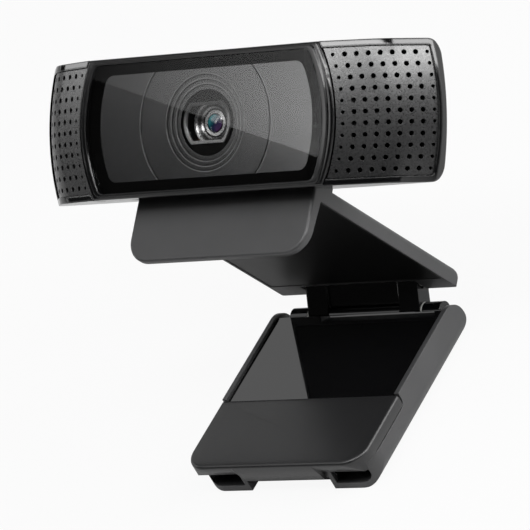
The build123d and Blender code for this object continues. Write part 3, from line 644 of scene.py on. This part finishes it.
def make_floor():
    corners = [(-1, -1), (1, -1), (1, 1), (-1, 1)]
    points = [(x * FLOOR_HALF, y * FLOOR_HALF, -FLOOR_DROP) for x, y in corners]
    mesh = bpy.data.meshes.new("floor")
    mesh.from_pydata(points, [], [(0, 1, 2, 3)])
    floor = bpy.data.objects.new("floor", mesh)
    scene.collection.objects.link(floor)
    s = Shader("floor_pale", grey(0.7), 0.7)
    s.tint(s.noise(FLOOR_CLOUD_MM, 2.0), 0.99, 1.01)
    path = s.add("ShaderNodeLightPath").outputs
    eye = s.maths("MULTIPLY", seen_straight(s, path), EYE_SHARE)
    gloss = s.maths("MULTIPLY", path["Is Glossy Ray"], GLOSS_SHARE)
    s.blend(s.maths("MAXIMUM", eye, gloss), s.bsdf, s.add("ShaderNodeEmission"))
    dress(floor, s)


def make_world():
    """A dim studio with a white sweep round the horizon; all white to the eye."""
    world = bpy.data.worlds.new("studio")
    world.use_nodes = True
    scene.world = world
    g = Graph(world.node_tree)
    g.tree.nodes.clear()
    path = g.add("ShaderNodeLightPath").outputs
    height = g.split(g.add("ShaderNodeTexCoord").outputs["Generated"])["Z"]
    sweep = g.span(height, 1.0, ROOM_LIGHT, 0.0, SWEEP_TOP)
    gloss = g.maths("MULTIPLY", path["Is Glossy Ray"], sweep)
    seen = g.maths("MAXIMUM", gloss, seen_straight(g, path))
    back = g.add("ShaderNodeBackground", {"Color": (1, 1, 1, 1)})
    g.link(g.maths("MAXIMUM", seen, ROOM_LIGHT), back.inputs["Strength"])
    out = g.add("ShaderNodeOutputWorld")
    g.link(back.outputs[0], out.inputs[0])


make_floor()
make_world()


def area(name, centre, across, facing, width, height, radiance, dim_end=1.0):
    """Soft box with a brightness per unit of its face, falling to a share of it at its near end."""
    data = bpy.data.lights.new(name, "AREA")
    data.shape = "RECTANGLE"
    data.size = width
    data.size_y = height
    data.energy = radiance * width * height * math.pi
    light = bpy.data.objects.new(name, data)
    z = -Vector(facing).normalized()
    x = (Vector(across) - z * z.dot(Vector(across))).normalized()
    place = Matrix((x, z.cross(x), z)).transposed().to_4x4()
    place.translation = centre
    light.matrix_world = place
    light.visible_camera = False
    scene.collection.objects.link(light)
    if dim_end < 1:
        data.use_nodes = True
        g = Graph(data.node_tree)
        along = g.split(g.add("ShaderNodeNewGeometry").outputs["Parametric"])["X"]
        fall = g.span(along, dim_end, 1.0, 0.0, 1.0)
        g.link(fall, g.tree.nodes["Emission"].inputs["Strength"])


OBJECT_MIDDLE = Vector((0.0, 0.0, 0.045))
NEAR_BOX = 0.8  # distance of the two boxes that rake the head
WIDE_BOX = 0.9  # distance of the others
UP = Vector((0.0, 0.0, 1.0))

# Large box up to the left; its front edge is the line across the window's reflection
KEY_AWAY = Vector((-0.6215, 0.0501, 0.7818))
KEY_ALONG = Vector((0.0312, 0.9987, -0.0392))
KEY_OVER = Vector((0.7828, 0.0, 0.6222))
KEY_EDGE_POINT = (-0.5972, -0.0604)
KEY_EDGE_WAY = (-0.828, 0.561)
KEY_DEPTH = 0.9
FAR_PART = (-1.22, -0.92)  # stretches along that edge
NEAR_PART = (-0.42, -0.07)
WINDOW_PART = (-0.07, 0.15)
edge_way = KEY_ALONG * KEY_EDGE_WAY[0] + KEY_OVER * KEY_EDGE_WAY[1]
edge_in = KEY_ALONG * KEY_EDGE_WAY[1] - KEY_OVER * KEY_EDGE_WAY[0]
edge_across = KEY_ALONG * KEY_EDGE_POINT[0] + KEY_OVER * KEY_EDGE_POINT[1]
key_edge = KEY_AWAY * WIDE_BOX + edge_across


def key_part(name, stretch, radiance, dim_end=1.0):
    start, stop = stretch
    centre = key_edge + edge_way * ((start + stop) / 2) + edge_in * (KEY_DEPTH / 2)
    area(name, centre, edge_way, -KEY_AWAY, stop - start, KEY_DEPTH, radiance, dim_end)


def box_towards(name, way, distance, across, width, height, radiance, shift=0.0):
    """Soft box in a direction from the object, shifted along its long side."""
    away = Vector(way).normalized()
    centre = OBJECT_MIDDLE + away * distance + across * shift
    area(name, centre, across, -away, width, height, radiance)


def level_box(name, way, width, height, radiance):
    """Soft box whose long side is level."""
    across = Vector(way).normalized().cross(UP)
    box_towards(name, way, WIDE_BOX, across, width, height, radiance)


key_part("far_box", FAR_PART, radiance=0.9)
key_part("key_box", NEAR_PART, radiance=0.9)
key_part("window_box", WINDOW_PART, radiance=3.8, dim_end=0.03)

# Boxes that rake the right grille with its rail, and the head's right end
RAKE_WAY = (0.3, -0.351, 0.879)
RAKE_ALONG = Vector((0.904, 0.316, -0.29))
RAKE_SHIFT = 0.07
END_WAY = (0.83, 0.07, 0.56)
END_ALONG = Vector((0.3, 0.6, -0.75))
box_towards("rake_box", RAKE_WAY, NEAR_BOX, RAKE_ALONG, 0.94, 0.14, radiance=9.8, shift=RAKE_SHIFT)
box_towards("end_box", END_WAY, NEAR_BOX, END_ALONG, 0.3, 0.2, radiance=8.4)

# Fill from the right and a strip at the left
level_box("side_box", (0.85, 0.5, 0.32), 0.8, 0.6, radiance=3.8)
level_box("left_strip", (-0.94, 0.0, 0.34), 0.4, 0.15, radiance=3.2)
